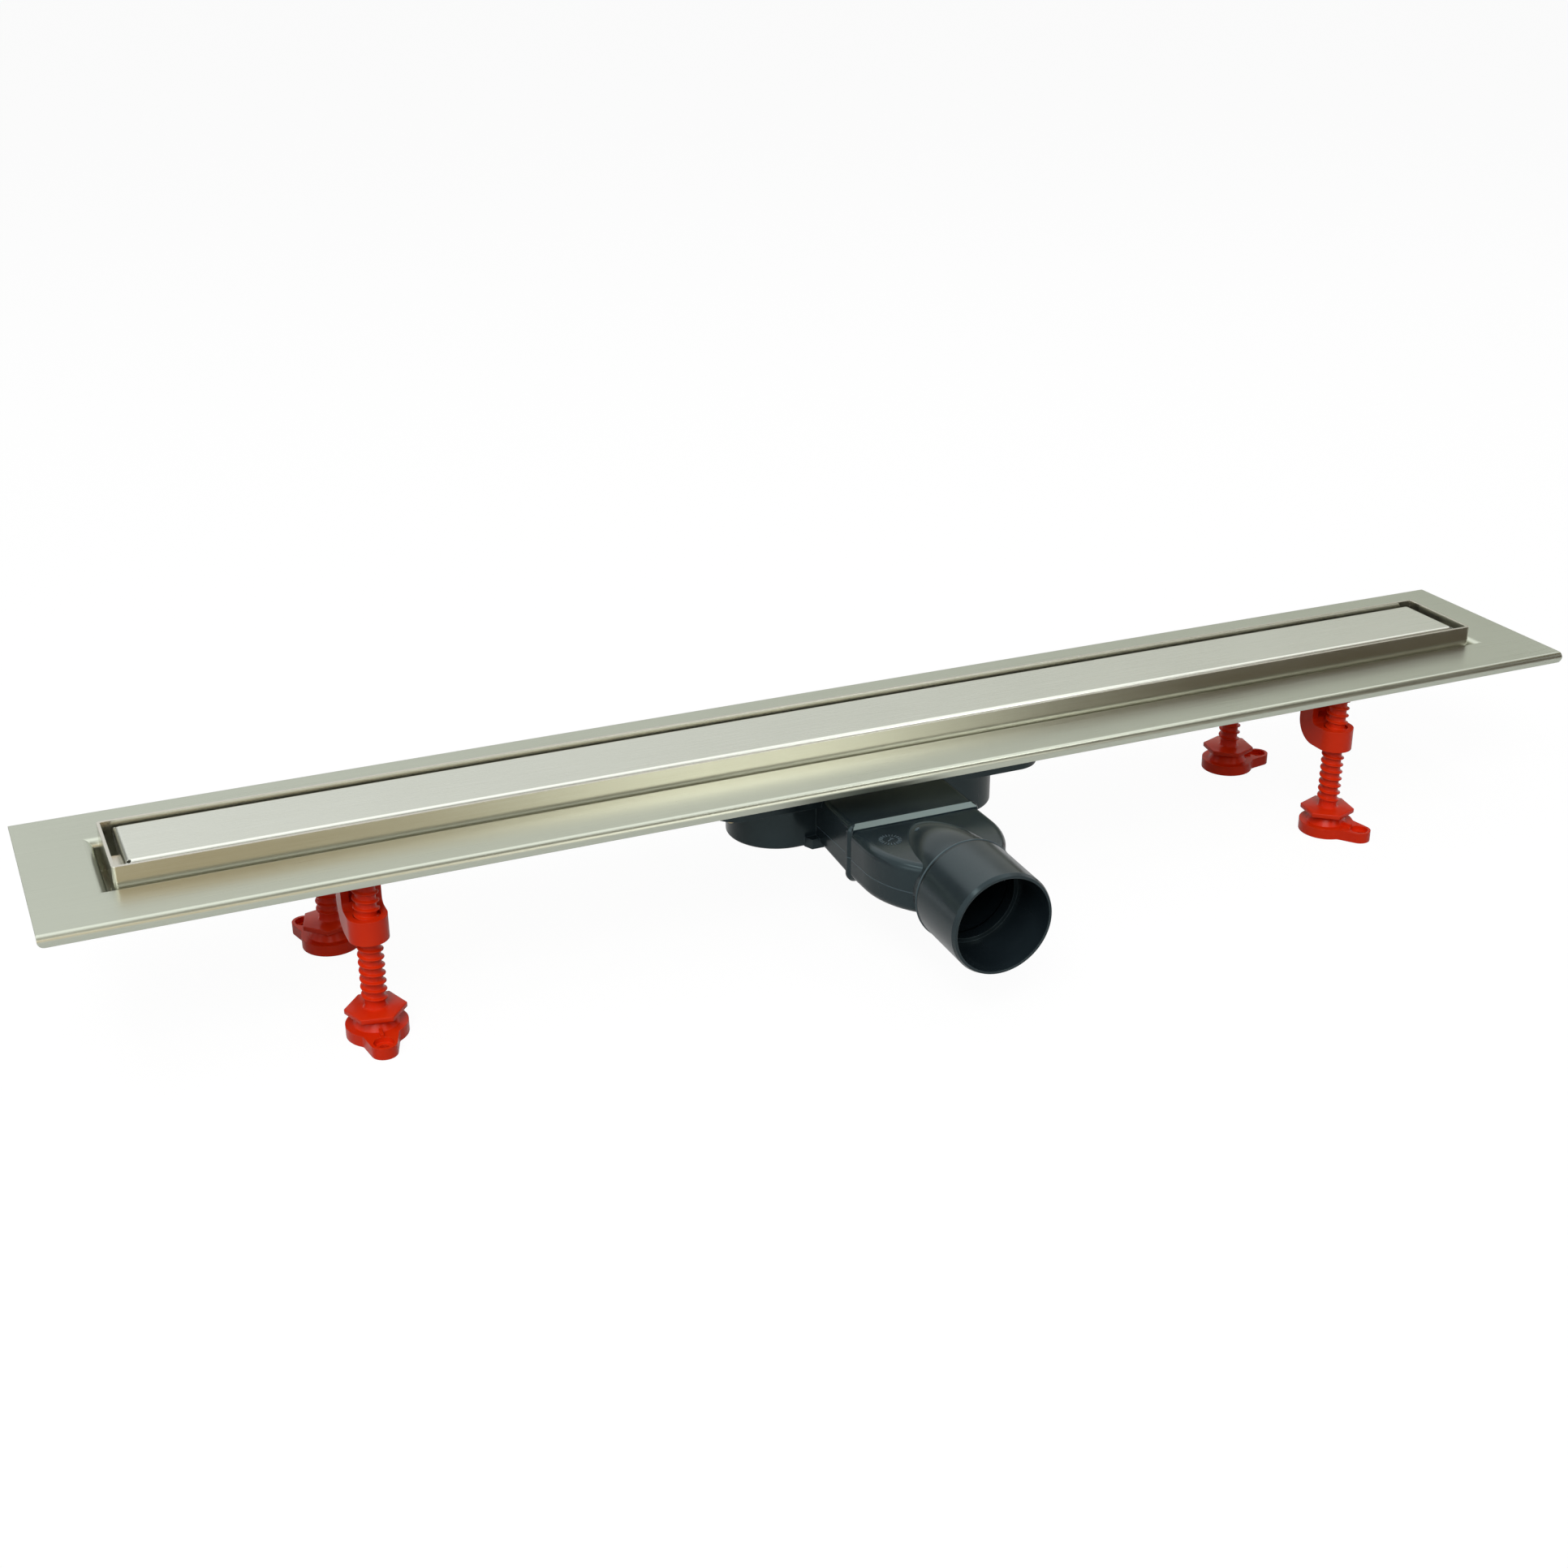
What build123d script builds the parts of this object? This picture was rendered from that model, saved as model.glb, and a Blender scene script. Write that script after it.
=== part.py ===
from build123d import *
import os
from math import cos, radians, sin, sqrt

# Linear shower drain: a folded steel channel with a tile frame and cover,
# a flat siphon and four screw feet.
# Millimetres and degrees. X runs along the channel, the outlet points to -Y,
# Z = 0 is the floor under the pads.

# Steel tray
TRAY_LENGTH = 785.0
END_FLANGE = 32.5
SIDE_FLANGE = 34.0
FLANGE_HEIGHT = 83.5
SHEET = 1.5
FOLD_RADIUS = 3.0
LIP_DROP = 5.0
LIP_CORNER = 3.0
TROUGH_WIDTH = 50.0
TROUGH_DEPTH = 15.0
RIM_RADIUS = 4.0

# Tile frame that stands in the trough
FRAME_RISE = 9.0
FRAME_SIDE_CLEARANCE = 0.1
FRAME_END_GAP = 2.5
FRAME_CORNER = 1.8
FRAME_END_LIFT = 6.0

# Cover and the tabs that carry it
COVER_DROP = 0.9
COVER_END_GAP = 4.5
COVER_SIDE_GAP = 3.0
COVER_DEPTH = 8.0
RELIEF_RADIUS = 1.0
RELIEF_INSET = 1.8
REST_WIDTH = 12.0
REST_REACH = 12.0
REST_LEG = 8.0

# Siphon bowl with its flange plate and outlet socket
GASKET = 2.0
INLET_SHIFT = 2.4
PLATE_LENGTH = 177.0
PLATE_WIDTH = 63.0
PLATE_THICKNESS = 3.5
PLATE_CORNER = 15.0
BOWL_LENGTH = 141.0
BOWL_WIDTH = 50.0
BOWL_DEPTH = 22.4
BOWL_EDGE = 1.5
BOWL_INNER_EDGE = 2.5
MOULDED_WALL = 2.5
WEIR_RISE = 11.4
SOCKET_WIDTH = 66.0
SOCKET_REACH = 65.5
SOCKET_RISE = 0.8
SOCKET_DEPTH = 28.3
SOCKET_FALL = 3.5
SOCKET_EDGE = 3.0
SOCKET_SET_OFF = 1.5
COLLAR_WIDTH = 4.0
COLLAR_PROUD = 1.5
COLLAR_LIP = 0.5
COLLAR_SLOPE_DROP = 1.9
COLLAR_SLOPE_REACH = 2.5
GUSSET_WIDTH = 6.0
GUSSET_TIP = 4.0
GUSSET_REACH = 4.5
GUSSET_HEIGHT = 5.0

# Outlet adapter and spigot
SEAL_THICKNESS = 0.6
SEAL_LAND = 3.0
SEAL_INSET = 1.0
ADAPTER_STEP = 2.3
ADAPTER_WIDTH = 68.0
ADAPTER_HEIGHT = 25.0
ADAPTER_STRAIGHT = 13.5
ADAPTER_LENGTH = 45.9
ADAPTER_TIP_WIDTH = 40.0
ADAPTER_EDGE = 4.0
TAIL_LENGTH = 18.0
TAIL_CLEARANCE = 0.3
DUCT_CORNER = 1.0
PIPE_DIAMETER = 50.0
PIPE_WALL = 2.0
PIPE_LENGTH = 36.0
PIPE_CHAMFER_LENGTH = 2.0
PIPE_CHAMFER_DEPTH = 0.8
PIPE_STEP_DEPTH = 28.0
PIPE_AXIS_DROP = 1.5
OUTLET_FALL = 2.0
ROOT_DIAMETER = 47.0
ROOT_LENGTH = 18.0
ROOT_TAPER = 1.5
ROOT_REACH = 48.0
ROOT_BEND = 105.0
ROOT_SET_OFF = 3.0

# Inlet: clamp ring and screws, trap insert, strainer
INLET_RADIUS = 16.5
INSERT_LEDGE = 2.0
INLET_CLEARANCE = 0.5
INSERT_WALL = 2.0
INSERT_FLANGE = 2.0
INSERT_SEAL = 1.0
DIP_GAP = 4.0
RING_THICKNESS = 2.5
RING_END_INSET = 4.5
RING_CORNER = 8.0
RING_CLEARANCE = 0.4
SCREW_DIAMETER = 5.0
SCREW_LENGTH = 15.5
SCREW_HEAD_DIAMETER = 9.0
SCREW_HEAD_HEIGHT = 3.0
SCREW_EDGE_X = 12.0
SCREW_EDGE_Y = 6.0
SCREW_CLEARANCE = 0.25
THREAD_FIT = 0.05
STRAINER_WALL = 1.5
STRAINER_DEPTH = 8.0
SLOT_WIDTH = 3.0
SLOT_PITCH = 8.0
SLOT_MARGIN = 4.0

# Screw feet
FOOT_INSET = 103.0
NOSE_REACH = 8.5
LEG_DEPTH = 10.5
LEG_RELIEF = 3.0
ARM_DROP = 36.0
ARM_HEIGHT = 11.5
ARM_WIDTH = 18.0
ELBOW_RADIUS = 12.0
ELBOW_INNER = 3.0
RECESS_WALL = 3.5
RECESS_DEPTH = 6.0
RECESS_HEIGHT = 13.0
STUD_DIAMETER = 5.0
STUD_LENGTH = 6.0
SPINDLE_DIAMETER = 11.8
SPINDLE_CLEARANCE = 0.1
SPINDLE_HEADROOM = 6.0
SPINDLE_TIP = 1.0
NECK_DIAMETER = 9.2
NECK_LENGTH = 3.0
HEX_ACROSS_FLATS = 24.2
HEX_THICKNESS = 2.5
HEX_GAP = 1.4
PAD_DIAMETER = 28.0
PAD_THICKNESS = 5.5
PAD_FLOOR = 1.7
BUTTON_DIAMETER = 10.4
BUTTON_HEIGHT = 4.5
STEM_DIAMETER = 7.2
BUTTON_CLEARANCE = 0.3
SOCKET_BASE_DIAMETER = 21.0
SOCKET_TOP_DIAMETER = 16.0
SOCKET_HEIGHT = 4.0
LUG_REACH = 19.5
LUG_RADIUS = 6.0
LUG_ROOT_REACH = 9.0
LUG_ROOT_RADIUS = 8.4
LUG_FILLET = 3.0
LUG_HOLE_DIAMETER = 4.5
LUG_RECESS_DIAMETER = 9.0
LUG_RECESS_DEPTH = 2.5
RIB_WIDTH = 1.6
RIB_HEIGHT = 1.5

# Each foot: side along X, side along Y, turn of the hexagon, direction of the lug
FEET = {
    "front_left": (-1, -1, 50, -95),
    "front_right": (1, -1, 20, -66),
    "back_left": (-1, 1, 14, 118),
    "back_right": (1, 1, 20, -4),
}

# Heights that follow from the sizes
FLANGE_UNDER = FLANGE_HEIGHT - SHEET
FLOOR = FLANGE_HEIGHT - TROUGH_DEPTH
FLOOR_UNDER = FLOOR - SHEET
FRAME_TOP = FLANGE_HEIGHT + FRAME_RISE
COVER_TOP = FRAME_TOP - COVER_DROP
COVER_UNDER = COVER_TOP - COVER_DEPTH
PLATE_TOP = FLOOR_UNDER - GASKET
PLATE_UNDER = PLATE_TOP - PLATE_THICKNESS
BOWL_BOTTOM = PLATE_UNDER - BOWL_DEPTH
BOWL_FLOOR = BOWL_BOTTOM + MOULDED_WALL
SOCKET_TOP = PLATE_TOP + SOCKET_RISE
SOCKET_BOTTOM = SOCKET_TOP - SOCKET_DEPTH
ADAPTER_TOP = SOCKET_TOP - ADAPTER_STEP
ADAPTER_BOTTOM = ADAPTER_TOP - ADAPTER_HEIGHT
DUCT_TOP = ADAPTER_TOP - SEAL_LAND
DUCT_BOTTOM = SOCKET_BOTTOM + MOULDED_WALL + SOCKET_FALL
WEIR = BOWL_FLOOR + WEIR_RISE
PIPE_AXIS = (ADAPTER_TOP + ADAPTER_BOTTOM) / 2 - PIPE_AXIS_DROP
INSERT_UNDER = PLATE_TOP + INSERT_SEAL
INSERT_TOP = INSERT_UNDER + INSERT_FLANGE
RING_TOP = FLOOR + RING_THICKNESS
SCREW_TIP = RING_TOP - SCREW_LENGTH
ARM_BOTTOM = FLANGE_HEIGHT - ARM_DROP
ARM_TOP = ARM_BOTTOM + ARM_HEIGHT
SPINDLE_TOP = FLANGE_UNDER - SPINDLE_HEADROOM
BUTTON_BOTTOM = PAD_FLOOR + BUTTON_CLEARANCE
BUTTON_TOP = BUTTON_BOTTOM + BUTTON_HEIGHT
PAD_TOP = PAD_THICKNESS + SOCKET_HEIGHT
HEX_BOTTOM = PAD_TOP + HEX_GAP
HEX_TOP = HEX_BOTTOM + HEX_THICKNESS
THREAD_START = HEX_TOP + NECK_LENGTH

# Plan sizes that follow from the sizes
TROUGH_LENGTH = TRAY_LENGTH - 2 * END_FLANGE
TRAY_WIDTH = TROUGH_WIDTH + 2 * SIDE_FLANGE
TROUGH_SIDE = TROUGH_WIDTH / 2 + SHEET
FRAME_LENGTH = TROUGH_LENGTH - 2 * FRAME_END_GAP
FRAME_WIDTH = TROUGH_WIDTH - 2 * FRAME_SIDE_CLEARANCE
FRAME_INNER_LENGTH = FRAME_LENGTH - 2 * SHEET
FRAME_INNER_WIDTH = FRAME_WIDTH - 2 * SHEET
COVER_LENGTH = FRAME_INNER_LENGTH - 2 * COVER_END_GAP
COVER_WIDTH = FRAME_INNER_WIDTH - 2 * COVER_SIDE_GAP
INLET_STRAIGHT = BOWL_LENGTH - BOWL_WIDTH
INSERT_RADIUS = INLET_RADIUS + INSERT_LEDGE
INLET_HOLE_RADIUS = INSERT_RADIUS + INLET_CLEARANCE
TUBE_RADIUS = INLET_RADIUS - INLET_CLEARANCE
TUBE_INNER_RADIUS = TUBE_RADIUS - INSERT_WALL
BASKET_RADIUS = TUBE_INNER_RADIUS - INLET_CLEARANCE
DUCT_WIDTH = ADAPTER_WIDTH - 2 * SEAL_LAND
RING_LENGTH = PLATE_LENGTH - 2 * RING_END_INSET
RING_WIDTH = FRAME_INNER_WIDTH - 2 * RING_CLEARANCE
SCREW_X = PLATE_LENGTH / 2 - SCREW_EDGE_X
SCREW_Y = RING_WIDTH / 2 - SCREW_EDGE_Y
ADAPTER_BACK = -(SOCKET_REACH + SEAL_THICKNESS)
ADAPTER_FRONT = ADAPTER_BACK - ADAPTER_LENGTH
PIPE_ROOT = ADAPTER_FRONT - ROOT_SET_OFF
LEG_BACK = NOSE_REACH + LEG_DEPTH
FOOT_X = TROUGH_LENGTH / 2 - FOOT_INSET
FOOT_Y = TROUGH_SIDE + LEG_BACK
STUD_REACH = NOSE_REACH + LEG_DEPTH / 2

# The model is centred over its own plan box: the spigot's mouth in front, the back lip or a lug behind
MOUTH_RADIUS = PIPE_DIAMETER / 2 - PIPE_CHAMFER_DEPTH
FALL_COS = cos(radians(OUTLET_FALL))
FALL_SIN = sin(radians(OUTLET_FALL))
FRONT_REACH = -PIPE_ROOT + PIPE_LENGTH * FALL_COS + MOUTH_RADIUS * FALL_SIN
LUG_REACHES = [
    side * FOOT_Y + LUG_REACH * sin(radians(turn)) + LUG_RADIUS
    for _, side, _, turn in FEET.values()
]
BACK_REACH = max(TRAY_WIDTH / 2, *LUG_REACHES)
CENTRE_SHIFT = (FRONT_REACH - BACK_REACH) / 2

NEAR = 0.01


def block(x_low, x_high, y_low, y_high, z_low, z_high):
    """Box between two corners."""
    middle = Pos((x_low + x_high) / 2, (y_low + y_high) / 2, (z_low + z_high) / 2)
    return middle * Box(x_high - x_low, y_high - y_low, z_high - z_low)


def prism(plan, bottom, top):
    """Upright solid of a plan between two heights."""
    return Pos(0, 0, bottom) * extrude(plan, top - bottom)


def rod(diameter, bottom, top, x=0, y=0):
    """Upright round bar."""
    return Pos(x, y, (bottom + top) / 2) * Cylinder(diameter / 2, top - bottom)


def side_view(points, width):
    """Solid of a side view given as (y, z) points, centred on the plane X = 0."""
    face = make_face(Plane.YZ * Polyline(*points, close=True))
    return extrude(face, width / 2, both=True)


def bar(width, bottom, top, corner, back, front):
    """Bar of rounded upright section that runs along Y from back to front."""
    plane = Plane((0, back, (bottom + top) / 2), x_dir=(1, 0, 0), z_dir=(0, -1, 0))
    return extrude(plane * RectangleRounded(width, top - bottom, corner), back - front)


def oblong(radius):
    """Plan with half-round ends that every piece of the inlet shares."""
    return Pos(INLET_SHIFT, 0) * SlotCenterToCenter(INLET_STRAIGHT, 2 * radius)


def inlet_sheet(length, width, corner):
    """Rectangular plan with rounded corners, centred over the inlet."""
    return Pos(INLET_SHIFT, 0) * RectangleRounded(length, width, corner)


def cross_edge(shape, y, z):
    """Edge along X nearest to a point of the side view."""
    return shape.edges().filter_by(Axis.X).sort_by_distance((0, y, z))[0]


def level_edges(shape, height, half_length, half_width):
    """Edges at one height whose middles lie on or within a rectangle round the Z axis."""
    level = shape.edges().filter_by_position(Axis.Z, height - NEAR, height + NEAR)
    return [
        edge
        for edge in level
        if abs(edge.center().X) < half_length + NEAR and abs(edge.center().Y) < half_width + NEAR
    ]


def clamp_screw_spots():
    """Plan positions of the four clamp screws."""
    return [(INLET_SHIFT + x * SCREW_X, y * SCREW_Y) for x in (-1, 1) for y in (-1, 1)]


def channel_tray():
    """Flange with folded lips front and back, and a sunken trough with a rounded, mitred rim."""
    half_length = TRAY_LENGTH / 2
    half_width = TRAY_WIDTH / 2
    lip_bottom = FLANGE_HEIGHT - LIP_DROP
    flange = block(-half_length, half_length, -half_width, half_width, lip_bottom, FLANGE_HEIGHT)
    flange = fillet(flange.edges().filter_by(Axis.X).group_by(Axis.Z)[-1], FOLD_RADIUS)
    inner_half = half_width - SHEET
    hollow = block(-half_length, half_length, -inner_half, inner_half, lip_bottom, FLANGE_UNDER)
    hollow = fillet(hollow.edges().filter_by(Axis.X).group_by(Axis.Z)[-1], FOLD_RADIUS - SHEET)
    flange -= hollow
    flange = fillet(flange.edges().filter_by(Axis.Y).group_by(Axis.Z)[0], LIP_CORNER)

    trough_end = TROUGH_LENGTH / 2 + SHEET
    tray = flange + block(-trough_end, trough_end, -TROUGH_SIDE, TROUGH_SIDE, FLOOR_UNDER, FLANGE_HEIGHT)
    tray = fillet(level_edges(tray, FLANGE_UNDER, trough_end, TROUGH_SIDE), RIM_RADIUS - SHEET)
    half_length = TROUGH_LENGTH / 2
    half_width = TROUGH_WIDTH / 2
    tray -= block(-half_length, half_length, -half_width, half_width, FLOOR, FLANGE_HEIGHT)
    tray = fillet(level_edges(tray, FLANGE_HEIGHT, half_length, half_width), RIM_RADIUS)

    tray -= prism(oblong(INLET_HOLE_RADIUS), FLOOR_UNDER, FLOOR)
    for x, y in clamp_screw_spots():
        tray -= rod(SCREW_DIAMETER + 2 * SCREW_CLEARANCE, FLOOR_UNDER, FLOOR, x, y)
    return tray


def tile_frame():
    """Strip bent into a rectangle: its long walls stand on the trough's floor, its ends stop above it."""
    outer = RectangleRounded(FRAME_LENGTH, FRAME_WIDTH, FRAME_CORNER)
    inner = RectangleRounded(FRAME_INNER_LENGTH, FRAME_INNER_WIDTH, FRAME_CORNER - SHEET)
    frame = prism(outer - inner, FLOOR, FRAME_TOP)
    opening = FRAME_WIDTH / 2 - FRAME_CORNER
    end = FRAME_LENGTH / 2
    for low, high in ((-end, -end + SHEET), (end - SHEET, end)):
        frame -= block(low, high, -opening, opening, FLOOR, FLOOR + FRAME_END_LIFT)
    return frame


def cover_plate():
    """Sheet with all four sides folded down and a relief hole where two folds meet."""
    half_length = COVER_LENGTH / 2
    half_width = COVER_WIDTH / 2
    cover = block(-half_length, half_length, -half_width, half_width, COVER_UNDER, COVER_TOP)
    cover = fillet(cover.edges().group_by(Axis.Z)[-1], FOLD_RADIUS)
    inner_length = half_length - SHEET
    inner_width = half_width - SHEET
    hollow = block(-inner_length, inner_length, -inner_width, inner_width, COVER_UNDER, COVER_TOP - SHEET)
    cover -= fillet(hollow.edges().group_by(Axis.Z)[-1], FOLD_RADIUS - SHEET)
    relief_bottom = COVER_TOP - FOLD_RADIUS - RELIEF_RADIUS
    relief_x = half_length - RELIEF_INSET
    relief_y = half_width - RELIEF_INSET
    for x in (-relief_x, relief_x):
        for y in (-relief_y, relief_y):
            cover -= rod(2 * RELIEF_RADIUS, relief_bottom, FRAME_TOP, x, y)
    return cover


def cover_rest(side):
    """Bent tab on the frame's end wall, with the cover's rim on its ledge."""
    wall = FRAME_INNER_LENGTH / 2
    half_width = REST_WIDTH / 2
    ledge_under = COVER_UNDER - SHEET
    ledge = block(wall - REST_REACH, wall, -half_width, half_width, ledge_under, COVER_UNDER)
    leg = block(wall - SHEET, wall, -half_width, half_width, COVER_UNDER - REST_LEG, COVER_UNDER)
    rest = ledge + leg
    if side < 0:
        rest = Rot(0, 0, 180) * rest
    return rest


def gusset(side):
    """Small web in the corner between the bowl and the socket."""
    root = side * (SOCKET_WIDTH / 2 - MOULDED_WALL)
    wide = side * (SOCKET_WIDTH / 2 + GUSSET_WIDTH)
    narrow = side * (SOCKET_WIDTH / 2 + GUSSET_TIP)
    bowl_front = -BOWL_WIDTH / 2
    inside = bowl_front + MOULDED_WALL
    tip = bowl_front - GUSSET_REACH
    corners = [(root, inside), (wide, inside), (wide, bowl_front), (narrow, tip), (root, tip)]
    plan = make_face(Polyline(*corners, close=True))
    return prism(plan, BOWL_BOTTOM, BOWL_BOTTOM + GUSSET_HEIGHT)


def siphon_body():
    """Moulded bowl under a flange plate, with a rectangular socket whose underside falls to the outlet."""
    plate = prism(inlet_sheet(PLATE_LENGTH, PLATE_WIDTH, PLATE_CORNER), PLATE_UNDER, PLATE_TOP)
    bowl = prism(oblong(BOWL_WIDTH / 2), BOWL_BOTTOM, PLATE_UNDER)
    bowl = fillet(bowl.edges().group_by(Axis.Z)[0], BOWL_EDGE)
    bowl_front = -BOWL_WIDTH / 2
    bowl_inside = bowl_front + MOULDED_WALL
    step = -(TROUGH_SIDE + SOCKET_SET_OFF)
    socket_back = SOCKET_BOTTOM + SOCKET_FALL
    socket = side_view(
        [
            (bowl_inside, PLATE_UNDER),
            (step, PLATE_UNDER),
            (step, SOCKET_TOP - COLLAR_LIP),
            (-SOCKET_REACH, SOCKET_TOP - COLLAR_LIP),
            (-SOCKET_REACH, SOCKET_BOTTOM),
            (bowl_inside, socket_back),
        ],
        SOCKET_WIDTH,
    )
    long_edges = [edge for edge in socket.edges() if abs(edge.tangent_at(0.5).Y) > 0.9]
    outer_edges = [edge for edge in long_edges if abs(edge.center().Z - PLATE_UNDER) > NEAR]
    socket = fillet(outer_edges, SOCKET_EDGE)
    collar = bar(
        SOCKET_WIDTH + 2 * COLLAR_PROUD,
        SOCKET_BOTTOM - COLLAR_PROUD,
        SOCKET_TOP,
        SOCKET_EDGE + COLLAR_PROUD,
        COLLAR_WIDTH - SOCKET_REACH,
        -SOCKET_REACH,
    )
    face = collar.faces().sort_by(Axis.Y)[0]
    collar = chamfer(face.edges(), COLLAR_SLOPE_DROP, COLLAR_SLOPE_REACH, reference=face)
    body = plate + bowl + socket + collar + gusset(-1) + gusset(1)

    cavity = prism(oblong(BOWL_WIDTH / 2 - MOULDED_WALL), BOWL_FLOOR, PLATE_UNDER)
    body -= fillet(cavity.edges().group_by(Axis.Z)[0], BOWL_INNER_EDGE)
    body -= prism(oblong(INLET_RADIUS), PLATE_UNDER, PLATE_TOP)
    body -= bar(DUCT_WIDTH, DUCT_BOTTOM, DUCT_TOP, DUCT_CORNER, bowl_front, -SOCKET_REACH)
    body -= bar(DUCT_WIDTH, WEIR, DUCT_TOP, DUCT_CORNER, bowl_inside, bowl_front)
    for x, y in clamp_screw_spots():
        body -= rod(SCREW_DIAMETER + 2 * THREAD_FIT, PLATE_UNDER, PLATE_TOP, x, y)
    return body


def adapter_plan():
    """Plan of the flattened adapter: straight at the socket, then drawn in by two arcs."""
    side = ADAPTER_WIDTH / 2
    tip = ADAPTER_TIP_WIDTH / 2
    shoulder = ADAPTER_BACK - ADAPTER_STRAIGHT
    return make_face(
        [
            Line((-side, ADAPTER_BACK), (side, ADAPTER_BACK)),
            Line((side, ADAPTER_BACK), (side, shoulder)),
            TangentArc((side, shoulder), (tip, ADAPTER_FRONT), tangent=(0, -1)),
            Line((tip, ADAPTER_FRONT), (-tip, ADAPTER_FRONT)),
            TangentArc((-side, shoulder), (-tip, ADAPTER_FRONT), tangent=(0, -1)),
            Line((-side, shoulder), (-side, ADAPTER_BACK)),
        ]
    )


def domed_root():
    """Root that swells out of the flattened body up to the spigot, turned about the pipe's axis."""
    radius = ROOT_DIAMETER / 2
    tip = radius - ROOT_BEND + sqrt(ROOT_BEND**2 - ROOT_REACH**2)
    half = make_face(
        [
            TangentArc((radius, 0), (tip, -ROOT_REACH), tangent=(0, -1)),
            Line((tip, -ROOT_REACH), (0, -ROOT_REACH)),
            Line((0, -ROOT_REACH), (0, 0)),
            Line((0, 0), (radius, 0)),
        ]
    )
    return revolve(Plane.XZ * half, Axis.Z)


def outlet_adapter():
    """Flattened adapter that plugs into the socket and ends in a domed root and a round spigot."""
    body = prism(adapter_plan(), ADAPTER_BOTTOM, ADAPTER_TOP)
    rims = body.edges().group_by(Axis.Z)[0] + body.edges().group_by(Axis.Z)[-1]
    body = fillet([edge for edge in rims if edge.center().Y < ADAPTER_BACK - NEAR], ADAPTER_EDGE)
    tail_width = DUCT_WIDTH - 2 * TAIL_CLEARANCE
    tail_bottom = DUCT_BOTTOM + TAIL_CLEARANCE
    tail_top = DUCT_TOP - TAIL_CLEARANCE
    tail_back = ADAPTER_BACK + TAIL_LENGTH
    body += bar(tail_width, tail_bottom, tail_top, DUCT_CORNER, tail_back, ADAPTER_BACK - MOULDED_WALL)

    axis = Plane((0, PIPE_ROOT, PIPE_AXIS), x_dir=(1, 0, 0), z_dir=(0, -FALL_COS, -FALL_SIN))
    root_radius = ROOT_DIAMETER / 2
    pipe_radius = PIPE_DIAMETER / 2
    straight = PIPE_LENGTH - PIPE_CHAMFER_LENGTH
    body += axis * domed_root()
    body += axis * Pos(0, 0, straight / 2) * Cylinder(pipe_radius, straight)
    mouth = Cone(pipe_radius, MOUTH_RADIUS, PIPE_CHAMFER_LENGTH)
    body += axis * Pos(0, 0, straight + PIPE_CHAMFER_LENGTH / 2) * mouth

    bore = pipe_radius - PIPE_WALL
    inner = root_radius - MOULDED_WALL
    step = PIPE_LENGTH - PIPE_STEP_DEPTH
    back = inner - ROOT_TAPER
    throat = back - ADAPTER_EDGE
    body -= axis * Pos(0, 0, (PIPE_LENGTH + step) / 2) * Cylinder(bore, PIPE_LENGTH - step)
    body -= axis * Pos(0, 0, step / 2) * Cylinder(inner, step)
    body -= axis * Pos(0, 0, -ROOT_LENGTH / 2) * Cone(back, inner, ROOT_LENGTH)
    body -= axis * Pos(0, 0, -ROOT_LENGTH - throat / 4) * Cone(throat, back, throat / 2)
    duct_width = tail_width - 2 * MOULDED_WALL
    duct_bottom = tail_bottom + MOULDED_WALL
    duct_top = tail_top - MOULDED_WALL
    duct_front = PIPE_ROOT + ROOT_LENGTH
    body -= bar(duct_width, duct_bottom, duct_top, DUCT_CORNER, tail_back, duct_front)
    return body


def outlet_seal():
    """Flat ring between the socket's collar and the adapter's shoulder."""
    low = ADAPTER_BOTTOM + SEAL_INSET
    high = ADAPTER_TOP - SEAL_INSET
    ring = bar(ADAPTER_WIDTH - 2 * SEAL_INSET, low, high, ADAPTER_EDGE, -SOCKET_REACH, ADAPTER_BACK)
    return ring - bar(DUCT_WIDTH, DUCT_BOTTOM, DUCT_TOP, DUCT_CORNER, -SOCKET_REACH, ADAPTER_BACK)


def flange_gasket():
    """Flat seal between the trough's floor and the flange plate."""
    width = 2 * (TROUGH_SIDE - RING_CLEARANCE)
    plan = inlet_sheet(RING_LENGTH, width, RING_CORNER) - oblong(INLET_HOLE_RADIUS)
    gasket = prism(plan, PLATE_TOP, FLOOR_UNDER)
    for x, y in clamp_screw_spots():
        gasket -= rod(SCREW_DIAMETER + 2 * SCREW_CLEARANCE, PLATE_TOP, FLOOR_UNDER, x, y)
    return gasket


def clamp_ring():
    """Steel ring inside the trough that presses the floor onto the gasket."""
    plan = inlet_sheet(RING_LENGTH, RING_WIDTH, RING_CORNER) - oblong(INLET_HOLE_RADIUS)
    ring = prism(plan, FLOOR, RING_TOP)
    for x, y in clamp_screw_spots():
        ring -= rod(SCREW_DIAMETER + 2 * SCREW_CLEARANCE, FLOOR, RING_TOP, x, y)
    return ring


def clamp_screws():
    """Pan-head screws through ring, floor and gasket into the flange plate."""
    screws = []
    for x, y in clamp_screw_spots():
        shank = rod(SCREW_DIAMETER, SCREW_TIP, RING_TOP, x, y)
        screws.append(shank + rod(SCREW_HEAD_DIAMETER, RING_TOP, RING_TOP + SCREW_HEAD_HEIGHT, x, y))
    return Compound(screws)


def trap_insert():
    """Dip tube that hangs by its flange in the inlet and makes the water seal."""
    tube = prism(oblong(TUBE_RADIUS), BOWL_FLOOR + DIP_GAP, INSERT_TOP)
    flange = prism(oblong(INSERT_RADIUS), INSERT_UNDER, INSERT_TOP)
    return tube + flange - prism(oblong(TUBE_INNER_RADIUS), BOWL_FLOOR + DIP_GAP, INSERT_TOP)


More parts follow.
